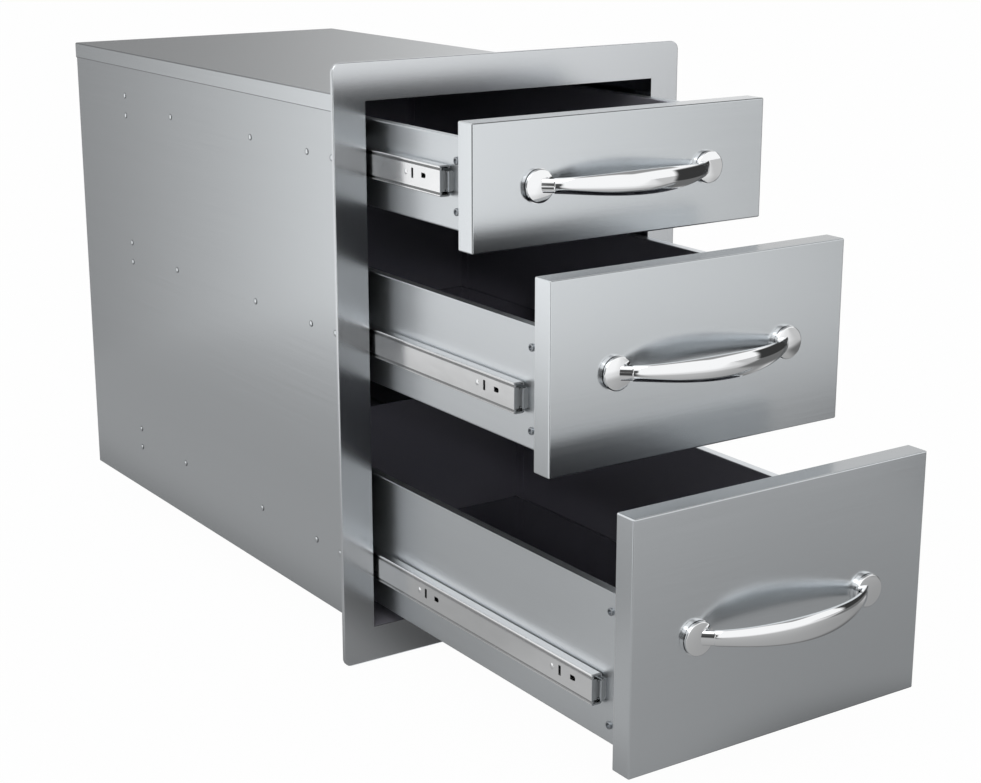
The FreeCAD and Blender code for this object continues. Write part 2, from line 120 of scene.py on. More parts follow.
def share_property(name, description, share):
    return bpy.props.FloatProperty(
        name=name, description=description, subtype="FACTOR", min=0, max=1, default=share
    )


class UnitFinish(bpy.types.PropertyGroup):
    """Colours and gloss of the unit's finishes."""

    steel: colour_property("Satin steel", "Colour of the brushed stainless sheet", "#d8dcdf")
    steel_roughness: share_property("Satin roughness", "How far the brushing blurs a reflection", 0.2)
    frame: colour_property("Face frame", "Colour of the frame round the opening", "#dcdfe2")
    frame_roughness: share_property("Frame roughness", "How far the frame blurs a reflection", 0.21)
    folded_roughness: share_property("Box roughness", "How far the boxes blur a reflection", 0.36)
    inside: colour_property("Inside", "Colour of the dark glossy coat inside the drawers", "#a6a5ae")
    floor_inside: colour_property("Drawer floors", "Colour of the coat on the drawers' floors", "#504f55")
    casing_inside: colour_property("Casing inside", "Colour of the same coat inside the casing", "#aeacb6")
    inside_roughness: share_property("Inside roughness", "Gloss of the dark coat", 0.1)
    rivet_roughness: share_property("Rivet roughness", "Gloss of the rivet heads", 0.14)
    screw: colour_property("Screws", "Colour of the dark screws", "#a0a4a8")
    screw_roughness: share_property("Screw roughness", "Gloss of the screws", 0.28)
    zinc: colour_property("Zinc plate", "Colour of the slides", "#f1f2f3")
    zinc_roughness: share_property("Zinc roughness", "Gloss of the slides", 0.16)
    sheared: colour_property("Slide ends", "Colour of the dull sheared ends of the slides", "#8e9193")
    chrome: colour_property("Polished handles", "Colour of the handles", "#f5f6f7")
    chrome_roughness: share_property("Polish roughness", "Gloss of the handles", 0.035)


class HandleSizes(bpy.types.PropertyGroup):
    """Sizes of one bow handle and its rosettes."""

    centres: size_property("Centres", "Distance between the two fixings", 170)
    reach: size_property("Reach", "How far the middle of the bar stands off the front", 33)
    foot: size_property("Foot", "How far its line stands off the front over a rosette", 2)
    end_height: size_property("End height", "Height of the bar where it meets its necks", 12)
    end_depth: size_property("End depth", "Depth of the bar where it meets its necks", 6)
    middle_height: size_property("Middle height", "Height of the bar at its fullest", 19.6)
    middle_depth: size_property("Middle depth", "Depth of the bar at its fullest", 6.95)
    neck_length: size_property("Neck length", "From the end of the bar to the middle of its rosette", 13)
    neck_height: size_property("Neck height", "Height of the neck", 10.6)
    neck_depth: size_property("Neck depth", "Depth of the neck", 5.4)
    rosette_radius: size_property("Rosette radius", "Radius of the disc under each end", 13.75)
    rosette_thickness: size_property("Rosette thickness", "How far each disc stands out", 5)
    rosette_base: size_property("Rosette base", "Height of the part below the disc's groove", 2)
    rosette_groove: size_property("Rosette groove", "Width of the groove", 0.8)


class FastenerSizes(bpy.types.PropertyGroup):
    """Sizes of the rivet and screw heads, and the places of the screws."""

    rivet_radius: size_property("Rivet radius", "Radius of a rivet head", 2.9)
    rivet_height: size_property("Rivet height", "How far a rivet head stands off the wall", 1.25)
    screw_radius: size_property("Screw radius", "Radius of a screw head", 3.1)
    screw_height: size_property("Screw height", "How far a screw head stands off the box", 1.7)
    screw_behind: size_property("Screws behind", "From the rear of a front to its screws", 18)
    screw_low: size_property("Lower screw", "From the lower edge of a box side to its lower screw", 15)
    screw_high: size_property("Upper screw", "From the upper edge of a box side to its upper screw", 20)


class StageSettings(bpy.types.PropertyGroup):
    """The plain studio round the unit."""

    floor: colour_property("Floor", "Colour of the floor", "#e4e6e8")
    light: bpy.props.FloatProperty(
        name="Key light", description="Power of the large lamp", unit="POWER", default=28
    )


def add_node(tree, kind, settings=None, inputs=None):
    """A shader node with its settings, and with a value or another node's output for each input."""
    made = tree.nodes.new(kind)
    for name, value in (settings or {}).items():
        setattr(made, name, value)
    for socket, source in (inputs or {}).items():
        if isinstance(source, bpy.types.NodeSocket):
            tree.links.new(source, made.inputs[socket])
        else:
            made.inputs[socket].default_value = source
    return made


def empty_material(name):
    material = bpy.data.materials.new(name)
    material.use_nodes = True
    material.node_tree.nodes.clear()
    return material, material.node_tree


def grain(tree, stretch):
    """Brushing: long fine streaks in object space. The stretch is the streaks' size along x, y and z."""
    place = add_node(tree, "ShaderNodeTexCoord")
    scaled = add_node(
        tree,
        "ShaderNodeMapping",
        {},
        {"Vector": place.outputs["Object"], "Scale": [1 / size for size in stretch]},
    )
    noise = add_node(
        tree, "ShaderNodeTexNoise", {}, {"Vector": scaled.outputs[0], "Scale": 1.0, "Detail": 3.0}
    )
    return noise.outputs["Fac"]


def shade(colour, share):
    return tuple(c * share for c in colour[:3]) + (1.0,)


def painted_shading(tree, colour, bands):
    """Painted light and shade: the colour, multiplied by a share between two places along an axis for each
    band.
    """
    for axis, low, high, share in bands:
        mask = inside_mask(tree, [(axis, "above", low), (axis, "below", high)])
        colour = add_node(
            tree,
            "ShaderNodeMix",
            {"data_type": "RGBA", "blend_type": "MULTIPLY", "clamp_result": False},
            {0: mask, 6: colour, 7: (share, share, share, 1.0)},
        ).outputs[2]
    return colour


def satin_steel(name, stretch, inside=None, colour=None, rough=None, coat=None, mirror=0.5, bands=()):
    """Stainless sheet, brushed and then rolled smooth: grey-white, with soft long-edged reflections.

    Its streaks are drawn five times as wide as a real 0.3 mm brushing, so that they show at all.
    inside gives the limits of the side with the dark coat, as (axis, side, place): see inside_mask.
    coat is the coat's colour, and mirror says how far it reflects like metal.
    """
    finish = bpy.context.scene.drawer_unit_finish
    colour, rough = colour or finish.steel, rough or finish.steel_roughness
    material, tree = empty_material(name)
    streaks = grain(tree, stretch)
    tones = {0: streaks, 6: shade(colour, 0.98), 7: shade(colour, 1.02)}
    base = add_node(tree, "ShaderNodeMix", {"data_type": "RGBA"}, tones).outputs[2]
    base = painted_shading(tree, base, bands)
    roughness = add_node(tree, "ShaderNodeMix", {}, {0: streaks, 2: rough * 0.85, 3: rough * 1.15}).outputs[0]
    metallic = 1.0
    if inside:
        mask = inside_mask(tree, inside)
        coated = {0: mask, 6: base, 7: (coat or finish.inside)[:]}
        base = add_node(tree, "ShaderNodeMix", {"data_type": "RGBA"}, coated).outputs[2]
        glossy = {0: mask, 2: roughness, 3: finish.inside_roughness}
        roughness = add_node(tree, "ShaderNodeMix", {}, glossy).outputs[0]
        metallic = add_node(tree, "ShaderNodeMix", {}, {0: mask, 2: 1.0, 3: mirror}).outputs[0]
    bump = add_node(tree, "ShaderNodeBump", {}, {"Height": streaks, "Strength": 0.1, "Distance": 0.02 * MM})
    shader = add_node(
        tree,
        "ShaderNodeBsdfPrincipled",
        {},
        {"Base Color": base, "Roughness": roughness, "Metallic": metallic, "Normal": bump.outputs[0]},
    )
    add_node(tree, "ShaderNodeOutputMaterial", {}, {"Surface": shader.outputs[0]})
    return material


def inside_mask(tree, limits):
    """1 where every limit holds. A limit is (axis, side, place): the axis x, y, z or across, which is
    the distance from the centre plane, and the side of the place, in metres, on which it holds.
    """
    place = add_node(tree, "ShaderNodeTexCoord")
    axes = add_node(tree, "ShaderNodeSeparateXYZ", {}, {0: place.outputs["Object"]})
    across = add_node(tree, "ShaderNodeMath", {"operation": "ABSOLUTE"}, {0: axes.outputs["X"]})
    mask = None
    for axis, side, at in limits:
        source = across.outputs[0] if axis == "across" else axes.outputs[axis.upper()]
        test = "LESS_THAN" if side == "below" else "GREATER_THAN"
        step = add_node(tree, "ShaderNodeMath", {"operation": test}, {0: source, 1: at}).outputs[0]
        if mask is not None:
            step = add_node(tree, "ShaderNodeMath", {"operation": "MULTIPLY"}, {0: mask, 1: step}).outputs[0]
        mask = step
    return mask


def zinc_plate(name="bright_zinc_plate", bands=(), ends=()):
    """Rolled steel with bright zinc plate: whiter than stainless, with faint clouds in its gloss.

    The clouds are 7 to 20 mm across, the size of the smears that a greasy hand leaves on it.
    bands paints shade into the ball grooves, and ends gives the limits of the dull sheared ends.
    """
    finish = bpy.context.scene.drawer_unit_finish
    material, tree = empty_material(name)
    clouds = grain(tree, (14 * MM, 20 * MM, 7 * MM))
    tones = {0: clouds, 6: shade(finish.zinc, 0.92), 7: shade(finish.zinc, 1.04)}
    colour = add_node(tree, "ShaderNodeMix", {"data_type": "RGBA"}, tones).outputs[2]
    colour = painted_shading(tree, colour, bands)
    rough = finish.zinc_roughness
    roughness = add_node(tree, "ShaderNodeMix", {}, {0: clouds, 2: rough * 0.75, 3: rough * 1.25}).outputs[0]
    metallic = 1.0
    if ends:
        mask = inside_mask(tree, ends)
        dull = {0: mask, 6: colour, 7: finish.sheared[:]}
        colour = add_node(tree, "ShaderNodeMix", {"data_type": "RGBA"}, dull).outputs[2]
        metallic = add_node(tree, "ShaderNodeMix", {}, {0: mask, 2: 1.0, 3: 0.1}).outputs[0]
    shader = add_node(
        tree,
        "ShaderNodeBsdfPrincipled",
        {},
        {"Base Color": colour, "Roughness": roughness, "Metallic": metallic},
    )
    add_node(tree, "ShaderNodeOutputMaterial", {}, {"Surface": shader.outputs[0]})
    return material


def polished_chrome():
    """Chrome plate on a cast and polished bar: a clear mirror, a shade blue.

    Its gloss varies a little over 30 mm, about the width of the wheel that polished it.
    """
    finish = bpy.context.scene.drawer_unit_finish
    material, tree = empty_material("polished_chrome")
    waves = grain(tree, (30 * MM, 30 * MM, 30 * MM))
    rough = finish.chrome_roughness
    roughness = add_node(tree, "ShaderNodeMix", {}, {0: waves, 2: rough * 0.7, 3: rough * 1.3}).outputs[0]
    shader = add_node(
        tree,
        "ShaderNodeBsdfPrincipled",
        {},
        {"Base Color": finish.chrome[:], "Roughness": roughness, "Metallic": 1.0},
    )
    add_node(tree, "ShaderNodeOutputMaterial", {}, {"Surface": shader.outputs[0]})
    return material


def dark_screw():
    """Darkened steel screws: a soft sheen on the rim of each head, and a black socket.

    Its tone varies over 3 mm, half the width of a head.
    """
    finish = bpy.context.scene.drawer_unit_finish
    material, tree = empty_material("dark_screw_steel")
    spots = grain(tree, (3 * MM, 3 * MM, 3 * MM))
    tones = {0: spots, 6: shade(finish.screw, 0.8), 7: shade(finish.screw, 1.1)}
    colour = add_node(tree, "ShaderNodeMix", {"data_type": "RGBA"}, tones).outputs[2]
    shader = add_node(
        tree,
        "ShaderNodeBsdfPrincipled",
        {},
        {"Base Color": colour, "Roughness": finish.screw_roughness, "Metallic": 1.0},
    )
    add_node(tree, "ShaderNodeOutputMaterial", {}, {"Surface": shader.outputs[0]})
    return material


def paint(node, material):
    """Gives a CAD node its material."""
    mesh = frame["nodes"][node].data
    mesh.materials.clear()
    mesh.materials.append(material)


def add_piece(operator, name, **settings):
    """Runs a primitive's operator, and leaves its place in its mesh."""
    bpy.ops.object.select_all(action="DESELECT")
    operator(**settings)
    piece = bpy.context.active_object
    piece.name = name
    piece.data.name = name
    bpy.ops.object.transform_apply(location=True, rotation=True, scale=True)
    return piece


def select_where(test, kind="verts"):
    """In edit mode, selects only the verts, edges or faces that pass the test."""
    bpy.ops.mesh.select_all(action="DESELECT")
    mode = {"verts": "VERT", "edges": "EDGE", "faces": "FACE"}[kind]
    bpy.ops.mesh.select_mode(type=mode)
    data = bpy.context.edit_object.data
    mesh = bmesh.from_edit_mesh(data)
    for element in getattr(mesh, kind):
        element.select_set(test(element))
    mesh.select_flush_mode()
    bmesh.update_edit_mesh(data)


def apply_modifier(piece, kind, **settings):
    modifier = piece.modifiers.new(kind.lower(), kind)
    for name, value in settings.items():
        setattr(modifier, name, value)
    bpy.context.view_layer.objects.active = piece
    bpy.ops.object.modifier_apply(modifier=modifier.name)


def place_piece(piece, material, body, nodes=()):
    """A finished piece gets its material, rides on its body and stands for its CAD nodes."""
    piece.data.materials.clear()
    piece.data.materials.append(material)
    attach(piece, body)
    if nodes:
        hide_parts(*nodes)


def drawer_face(drawer):
    """Where the face of a drawer's front is, on y."""
    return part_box(drawer + "_front_skin")[0].y


def handle_height(drawer):
    low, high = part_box(drawer + "_handle_bar")
    return (low.z + high.z) / 2


def make_pan(name, low, high, open_sides, rounding):
    """A folded pan of sheet that fills the box: open on the sides named, with its folds rounded."""
    middle, size = (low + high) / 2, high - low
    pan = add_piece(bpy.ops.mesh.primitive_cube_add, name, size=1, location=middle)
    bpy.ops.object.mode_set(mode="EDIT")
    bpy.ops.mesh.select_all(action="SELECT")
    bpy.ops.transform.resize(value=size, center_override=middle)
    select_where(lambda f: any(f.normal.dot(Vector(side)) > 0.9 for side in open_sides), "faces")
    bpy.ops.mesh.delete(type="FACE")
    select_where(lambda e: not e.is_boundary, "edges")
    bpy.ops.mesh.bevel(offset=rounding, segments=4, affect="EDGES")
    bpy.ops.object.mode_set(mode="OBJECT")
    apply_modifier(pan, "SOLIDIFY", thickness=SHEET, offset=-1, use_even_offset=True)
    return pan


def finish_pan(pan):
    """Soft folds between flat sides."""
    bpy.ops.object.shade_smooth_by_angle(angle=math.radians(40))
    apply_modifier(pan, "WEIGHTED_NORMAL", keep_sharp=True, weight=100)


def make_lid():
    """The top sheet, whose lip ends in a small rounded edge over the walls."""
    low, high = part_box("casing_lid")
    lid = make_pan("casing_lid_sheet", low, high, ((0, 0, -1), (0, -1, 0)), LID_FOLD)
    bpy.ops.object.mode_set(mode="EDIT")
    reach = 0.05 * MM

    def on_rim(edge):
        middle = (edge.verts[0].co + edge.verts[1].co) / 2
        outer = abs(abs(middle.x) - high.x) < reach or abs(middle.y - high.y) < reach
        return outer and all(abs(v.co.z - low.z) < reach for v in edge.verts)

    select_where(on_rim, "edges")
    bpy.ops.mesh.bevel(offset=0.45 * MM, segments=3, affect="EDGES")
    bpy.ops.object.mode_set(mode="OBJECT")
    finish_pan(lid)
    return lid


def slide_middle(drawer):
    """The height of a drawer's slides."""
    low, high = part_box(drawer + "_slide_cabinet_left")
    return (low.z + high.z) / 2


def make_rivets():
    """The rivet heads down both walls: one dome, copied to every place and mirrored."""
    sizes = bpy.context.scene.drawer_unit_fasteners
    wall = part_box("casing_left")[0].x
    places = []
    for drawer in DRAWERS:
        level = slide_middle(drawer)
        places += [(y * MM, level) for y in RIVET_LINE]
        places += [(RIVET_PAIR * MM, level + side * RIVET_PAIR_APART / 2 * MM) for side in (1, -1)]
    radius = sizes.rivet_radius
    head = add_piece(
        bpy.ops.mesh.primitive_uv_sphere_add, "rivet_head", segments=20, ring_count=12, radius=radius
    )
    bpy.ops.object.mode_set(mode="EDIT")
    select_where(lambda v: v.co.x > 0.1 * MM)
    bpy.ops.mesh.delete(type="VERT")
    bpy.ops.mesh.select_all(action="SELECT")
    bpy.ops.transform.resize(value=(sizes.rivet_height / radius, 1, 1), center_override=(0, 0, 0))
    bpy.ops.object.mode_set(mode="OBJECT")
    heads = [copied(head, "rivet", Vector((wall, y, z))) for y, z in places]
    bpy.data.objects.remove(head)
    return joined(heads, "rivet_heads")


def joined(pieces, name):
    """The pieces as one, mirrored to the other side of the unit, with smooth faces."""
    bpy.ops.object.select_all(action="DESELECT")
    for piece in pieces:
        piece.select_set(True)
    whole = pieces[0]
    bpy.context.view_layer.objects.active = whole
    bpy.ops.object.join()
    whole.name = name
    whole.data.name = name
    apply_modifier(whole, "MIRROR", use_axis=(True, False, False))
    bpy.ops.object.shade_smooth_by_angle(angle=math.radians(50))
    return whole


class DRAWERUNIT_OT_casing(bpy.types.Operator):
    """Finish the face frame and the casing in satin steel, dark inside"""

    bl_idname = "drawer_unit.casing"
    bl_label = "Casing and Frame"

    def execute(self, context):
        finish = context.scene.drawer_unit_finish
        framing = {"colour": finish.frame, "rough": finish.frame_roughness}
        paint("face_frame", satin_steel("satin_stainless_frame", UPRIGHT, **framing))
        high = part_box("casing_back")[1]
        within = ("across", "below", high.x - 1.5 * SHEET)
        coat = {"coat": finish.casing_inside, "mirror": 0.25}
        wall_steel = satin_steel("satin_stainless_walls", LENGTHWAYS, [within], **coat)
        for side in SIDES:
            paint("casing_" + side, wall_steel)
        under = [("across", "below", high.x - SHEET / 2), ("z", "below", high.z + SHEET / 2)]
        under.append(("y", "below", high.y + SHEET / 2))
        # The lid's lip has painted light, with painted shadow lines under its fold and along its foot.
        lid_steel = satin_steel("satin_stainless_lid", LENGTHWAYS, under, bands=lip_painted_light_and_shade(), **coat)
        place_piece(make_lid(), lid_steel, "casing", ["casing_lid"])
        above = [("z", "above", SHEET / 2), within]
        paint("casing_bottom", satin_steel("satin_stainless_floor", LENGTHWAYS, above, **coat))
        ahead = [("y", "below", high.y - SHEET / 2)]
        paint("casing_back", satin_steel("satin_stainless_back", UPRIGHT, ahead, **coat))
        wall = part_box("casing_right")[1].x
        # Painted shade: the foot of each rivet head, where it meets the wall, is painted at a quarter of its
        # brightness.
        painted_foot_shade, rough = ("across", wall - 0.1 * MM, wall + 0.6 * MM, 0.25), finish.rivet_roughness
        rivet_steel = satin_steel("satin_stainless_rivets", LENGTHWAYS, rough=rough, bands=[painted_foot_shade])
        place_piece(make_rivets(), rivet_steel, "casing", ["casing_rivets"])
        paint("slide_packers", zinc_plate())
        return {"FINISHED"}


def lip_painted_light_and_shade():
    """Painted light and shade down the lid's lip: a painted shadow line under the fold, a lighter painted lip
    and a painted shadow at its foot.
    """
    low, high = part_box("casing_lid")
    foot, fold = low.z + 0.9 * MM, high.z - 1.2 * MM
    return [
        ("z", low.z - 1 * MM, foot, 0.6),
        ("z", foot, fold, 1.1),
        ("z", fold, high.z - 0.25 * MM, 0.7),
    ]


def make_screws(drawer):
    """The two screws on each side of a box: a round head with a socket, copied and mirrored."""
    sizes = bpy.context.scene.drawer_unit_fasteners
    low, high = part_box(drawer + "_box_left")
    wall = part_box(drawer + "_box_back")[0].x - SHEET
    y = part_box(drawer + "_front_skin")[1].y + sizes.screw_behind
    head = add_piece(
        bpy.ops.mesh.primitive_cylinder_add,
        "screw_head",
        vertices=24,
        radius=sizes.screw_radius,
        depth=sizes.screw_height,
        location=(-sizes.screw_height / 2, 0, 0),
        rotation=(0, math.pi / 2, 0),
    )
    bpy.ops.object.mode_set(mode="EDIT")
    select_where(lambda f: f.normal.x < -0.9, "faces")
    bpy.ops.mesh.bevel(offset=0.7 * MM, segments=3, affect="EDGES")
    select_where(lambda f: f.normal.x < -0.9 and len(f.verts) > 4, "faces")
    bpy.ops.mesh.inset(thickness=0.5 * MM)
    bpy.ops.mesh.extrude_region_move(TRANSFORM_OT_translate={"value": (1.2 * MM, 0, 0)})
    bpy.ops.object.mode_set(mode="OBJECT")
    levels = (low.z + sizes.screw_low, high.z - sizes.screw_high)
    heads = [copied(head, "screw", Vector((wall, y, z))) for z in levels]
    bpy.data.objects.remove(head)
    return joined(heads, drawer + "_screw_heads")


class DRAWERUNIT_OT_boxes(bpy.types.Operator):
    """Fold the drawer fronts, and finish them and their boxes"""

    bl_idname = "drawer_unit.boxes"
    bl_label = "Drawer Boxes"

    def execute(self, context):
        finish = context.scene.drawer_unit_finish
        rough, coat = finish.folded_roughness, finish.floor_inside
        # The fronts' steel has painted shade along each front's folded upper edge and on its folds.
        face_steel = satin_steel("satin_stainless_fronts", CROSSWAYS, bands=front_painted_shade())
        dark = dark_screw()
        for drawer in DRAWERS:
            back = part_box(drawer + "_box_back")[1]
            within = ("across", "below", back.x + SHEET / 2)
            above = ("z", "above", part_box(drawer + "_box_floor")[0].z + SHEET / 2)
            steel = satin_steel(drawer + "_side_steel", LENGTHWAYS, [within, above], rough=rough)
            for side in SIDES:
                paint(drawer + "_box_" + side, steel)
            paint(drawer + "_box_floor", satin_steel(drawer + "_floor_steel", LENGTHWAYS, [above], coat=coat))
            ahead = [("y", "below", back.y - SHEET / 2), ("z", "below", back.z - SHEET / 2)]
            paint(drawer + "_box_back", satin_steel(drawer + "_back_steel", CROSSWAYS, ahead))
            paint(drawer + "_front_backer", face_steel)
            low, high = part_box(drawer + "_front_skin")
            front = make_pan(drawer + "_front_pan", low, high, ((0, 1, 0),), FRONT_FOLD)
            finish_pan(front)
            place_piece(front, face_steel, drawer + "_drawer", [drawer + "_front_skin"])
            place_piece(make_screws(drawer), dark, drawer + "_drawer", [drawer + "_screws"])
        return {"FINISHED"}


def front_painted_shade():
    """Painted shade on each front: a band along its folded upper edge and one on the curve of its folds."""
    tones = []
    for drawer, edge, fold in FRONT_PAINTED_SHADE:
        low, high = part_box(drawer + "_front_skin")
        tones.append(("z", high.z - 0.1 * MM, high.z + 1 * MM, edge))
        tones.append(("y", low.y + 0.2 * MM, low.y + 1.0 * MM, fold))
    return tones


class DRAWERUNIT_OT_slides(bpy.types.Operator):
    """Finish the ball-bearing slides, with painted shade in their ball grooves, and dull at their sheared
    ends
    """

    bl_idname = "drawer_unit.slides"
    bl_label = "Slides"

    def execute(self, context):
        zinc = zinc_plate()
        # Painted shade in the ball grooves: each groove of a middle member is painted at a quarter of the
        # zinc's brightness.
        groove_out, groove_half = 9.6 * MM, 0.8 * MM
        for drawer in DRAWERS:
            level = slide_middle(drawer)
            grooves = (level - groove_out, level + groove_out)
            bands = [("z", groove - groove_half, groove + groove_half, 0.25) for groove in grooves]
            finishes = {}
            for member, member_bands in (("middle", bands), ("drawer", ())):
                low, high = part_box(drawer + "_slide_" + member + "_right")
                ends = [("y", "below", low.y + 1.3 * MM), ("across", "below", high.x - 1.1 * MM)]
                finishes[member] = zinc_plate(drawer + "_zinc_" + member, member_bands, ends)
            for name in frame["nodes"]:
                if name.startswith((drawer + "_slide_", drawer + "_balls_")):
                    paint(name, finishes.get(name.split("_")[2], zinc))
        return {"FINISHED"}


class DRAWERUNIT_OT_handles(bpy.types.Operator):
    """Model the bow handles, which swell from their necks to their middle, and their rosettes"""

    bl_idname = "drawer_unit.handles"
    bl_label = "Bow Handles"

    def execute(self, context):
        chrome = polished_chrome()
        bow, rosettes = make_bow(), make_rosettes()
        for drawer in DRAWERS:
            body = drawer + "_drawer"
            place = Vector((0, drawer_face(drawer), handle_height(drawer)))
            placed = copied(bow, drawer + "_handle_bow", place)
            place_piece(placed, chrome, body, [drawer + "_handle_bar"])
            placed = copied(rosettes, drawer + "_handle_discs", place)
            place_piece(placed, chrome, body, [drawer + "_handle_rosettes"])
        for pattern in (bow, rosettes):
            bpy.data.objects.remove(pattern)
        return {"FINISHED"}


def copied(piece, name, move):
    """A copy of the piece with a mesh of its own, moved to its place."""
    bpy.ops.object.select_all(action="DESELECT")
    piece.select_set(True)
    bpy.context.view_layer.objects.active = piece
    bpy.ops.object.duplicate()
    copy = bpy.context.active_object
    copy.name = name
    copy.data.name = name
    bpy.ops.transform.translate(value=move)
    bpy.ops.object.transform_apply(location=True, rotation=True, scale=True)
    return copy


def make_bow():
    """One bar for a front at y = 0: a section spun along its arc and swelled ring by ring.

    The section is an oval with a narrow flat along its top and its underside, so that the bar keeps
    the two crisp lines along its length.
    """
    sizes = bpy.context.scene.drawer_unit_handle
    rise, half = sizes.reach - sizes.foot, sizes.centres / 2
    radius = (half ** 2 + rise ** 2) / (2 * rise)
    centre = Vector((0, radius - sizes.reach, 0))
    sweep = math.asin(half / radius) - sizes.neck_length / radius
    steps, swell = 36, 1.4
    start = centre + Vector((-math.sin(sweep), -math.cos(sweep), 0)) * radius
    section, flat = 0.5 * MM, math.cos(math.radians(18))
    bow = add_piece(
        bpy.ops.mesh.primitive_circle_add,
        "handle_bow",
        vertices=40,
        radius=section,
        fill_type="NGON",
        location=start,
        rotation=(0, math.pi / 2, -sweep),
    )
    bpy.ops.object.mode_set(mode="EDIT")
    for side in (-1, 1):
        level = start + Vector((0, 0, side * flat * section))
        select_where(lambda v: v.co.z * side > (flat - 0.01) * section)
        bpy.ops.transform.resize(value=(1, 1, 0), center_override=level)
    bpy.ops.mesh.select_all(action="SELECT")
    bpy.ops.mesh.spin(steps=steps, angle=-2 * sweep, center=centre, axis=(0, 0, 1))
    for ring in range(steps + 1):
        turn = 2 * sweep * ring / steps - sweep
        middle = centre + Vector((math.sin(turn), -math.cos(turn), 0)) * radius
        fullness = max(math.cos(turn / sweep * math.pi / 2), 0) ** swell
        tall = sizes.end_height + (sizes.middle_height - sizes.end_height) * fullness
        deep = sizes.end_depth + (sizes.middle_depth - sizes.end_depth) * fullness
        select_where(lambda v: (v.co - middle).length < 0.6 * MM)
        bpy.ops.transform.resize(value=(deep / MM, deep / MM, tall / flat / MM), center_override=middle)
    for side in (-1, 1):
        add_neck(side, centre, radius, sweep)
    bpy.ops.mesh.select_all(action="SELECT")
    bpy.ops.mesh.normals_make_consistent(inside=False)
    bpy.ops.object.mode_set(mode="OBJECT")
    bpy.ops.object.shade_smooth_by_angle(angle=math.radians(28))
    return bow


def add_neck(side, centre, radius, sweep):
    """Rounds one end of the bar and steps it down to its neck, which runs on into the rosette."""
    sizes = bpy.context.scene.drawer_unit_handle
    ahead = Vector((side * math.cos(sweep), math.sin(sweep), 0))
    end = centre + Vector((side * math.sin(sweep), -math.cos(sweep), 0)) * radius
    select_where(lambda f: (f.calc_center_median() - end).length < 1 * MM, "faces")
    gone, left_over = 0, 0.912
    for run, share in ((0.35, 0.99), (0.45, 0.965), (0.35, 0.955)):
        gone += run * MM
        bpy.ops.mesh.extrude_region_move(TRANSFORM_OT_translate={"value": ahead * run * MM})
        bpy.ops.transform.resize(value=(share, share, share), center_override=end + ahead * gone)
    thin = sizes.neck_depth / sizes.end_depth / left_over
    short = sizes.neck_height / sizes.end_height / left_over
    step = 0.05 * MM
    bpy.ops.mesh.extrude_region_move(TRANSFORM_OT_translate={"value": ahead * step})
    bpy.ops.transform.resize(value=(thin, thin, short), center_override=end + ahead * (gone + step))
    bpy.ops.mesh.extrude_region_move(TRANSFORM_OT_translate={"value": ahead * sizes.neck_length})
    buried = Vector((0, -sizes.rosette_base, 0))
    bpy.ops.transform.resize(value=(1, 0, 1), center_override=buried)


def make_rosettes():
    """Both discs of one handle for a front at y = 0, each with a groove round its edge and a rolled rim."""
    sizes = bpy.context.scene.drawer_unit_handle
    groove, base = sizes.rosette_groove, sizes.rosette_base
    discs = add_piece(
        bpy.ops.mesh.primitive_cylinder_add,
        "handle_discs",
        vertices=64,
        radius=sizes.rosette_radius,
        depth=base,
        location=(sizes.centres / 2, -base / 2, 0),
        rotation=(math.pi / 2, 0, 0),
    )
    bpy.ops.object.mode_set(mode="EDIT")
    select_where(lambda f: len(f.verts) > 4 and f.calc_center_median().y < -base / 2, "faces")
    rest = sizes.rosette_thickness - base - groove
    round_off = 0.9 * MM
    profile = [(2 * groove, 0), (0, groove), (groove / 2 - 2 * groove, 0), (0, rest - round_off)]
    for k in range(3):
        before, after = math.pi / 6 * k, math.pi / 6 * (k + 1)
        inward = (math.cos(before) - math.cos(after)) * round_off
        outward = (math.sin(after) - math.sin(before)) * round_off
        profile.append((inward, outward))
    reach = sizes.rosette_radius
    middle = Vector((sizes.centres / 2, 0, 0))
    for inward, outward in profile:
        share = (reach - inward) / reach
        reach -= inward
        bpy.ops.mesh.extrude_region_move(TRANSFORM_OT_translate={"value": (0, -outward, 0)})
        bpy.ops.transform.resize(value=(share, 1, share), center_override=middle)
    bpy.ops.mesh.select_all(action="SELECT")
    bpy.ops.mesh.normals_make_consistent(inside=False)
    bpy.ops.object.mode_set(mode="OBJECT")
    apply_modifier(discs, "MIRROR", use_axis=(True, False, False))
    bpy.ops.object.shade_smooth_by_angle(angle=math.radians(32))
    return discs


class DRAWERUNIT_OT_stage(bpy.types.Operator):
    """Set the pale floor, the soft lamps, the white world and the camera"""

    bl_idname = "drawer_unit.stage"
    bl_label = "Stage and Camera"

    def execute(self, context):
        make_world()
        make_floor()
        make_floor_card()
        make_back_card()
        for name, place, size, aim, strength in CARDS:
            make_card(name, place, size, aim, strength)
        make_lamp("key_softbox", (-2.2, -2.4, 3.2), (0, 0, 0.2), 2.2, context.scene.drawer_unit_stage.light)
        make_camera()
        context.scene.view_settings.view_transform = "Standard"
        return {"FINISHED"}


def seen_directly(tree):
    """1 for the rays that show the background: from the camera, and in metal or glass."""
    path = add_node(tree, "ShaderNodeLightPath")
    both = add_node(
        tree,
        "ShaderNodeMath",
        {"operation": "MAXIMUM"},
        {0: path.outputs["Is Camera Ray"], 1: path.outputs["Is Glossy Ray"]},
    )
    return add_node(
        tree,
        "ShaderNodeMath",
        {"operation": "MAXIMUM"},
        {0: both.outputs[0], 1: path.outputs["Is Transmission Ray"]},
    ).outputs[0]


